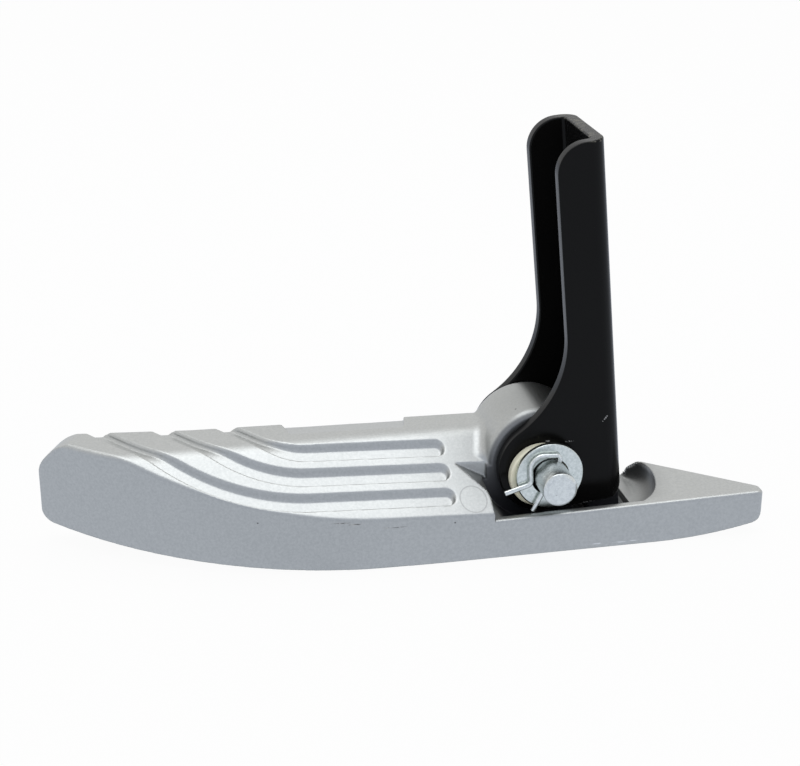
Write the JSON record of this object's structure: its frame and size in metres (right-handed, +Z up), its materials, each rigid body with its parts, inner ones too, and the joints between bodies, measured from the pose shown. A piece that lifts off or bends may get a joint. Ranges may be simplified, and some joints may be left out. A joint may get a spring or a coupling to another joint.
{
  "type": "folding scooter footrest",
  "caption": "Folding scooter footrest: a silver die-cast peg with a sloping grooved tread, hinged on a clipped clevis pin in a black pressed steel U bracket.",
  "frame": {"origin": "middle of the bounding box, on the level of the casting's base", "axes": "+X from the nose of the peg to its tail, +Y along the hinge pin from its clip to its head, +Z up along the bracket"},
  "size_m": [0.167, 0.042, 0.0954],
  "materials": {
    "silver_paint": "satin silver paint on a die casting",
    "black_paint": "gloss black paint on pressed steel",
    "zinc_pin": "bright zinc plate",
    "zinc_washer": "bright zinc plate",
    "cream_plastic": "natural cream plastic",
    "zinc_wire": "bright zinc plate"
  },
  "bodies": {
    "bracket": {"hinge_bracket": "black_paint", "hinge_pin": "zinc_pin", "plain_washer": "zinc_washer", "plastic_spacer": "cream_plastic", "retaining_clip": "zinc_wire"},
    "footrest": {"footrest_casting": "silver_paint"}
  },
  "joints": [
    {"name": "footrest_fold", "type": "hinge", "parent": "bracket", "child": "footrest", "pos_m": [0.03194, 0.00498, 0.018], "axis": [0, 1, 0], "range_deg": [0, 85]}
  ]
}
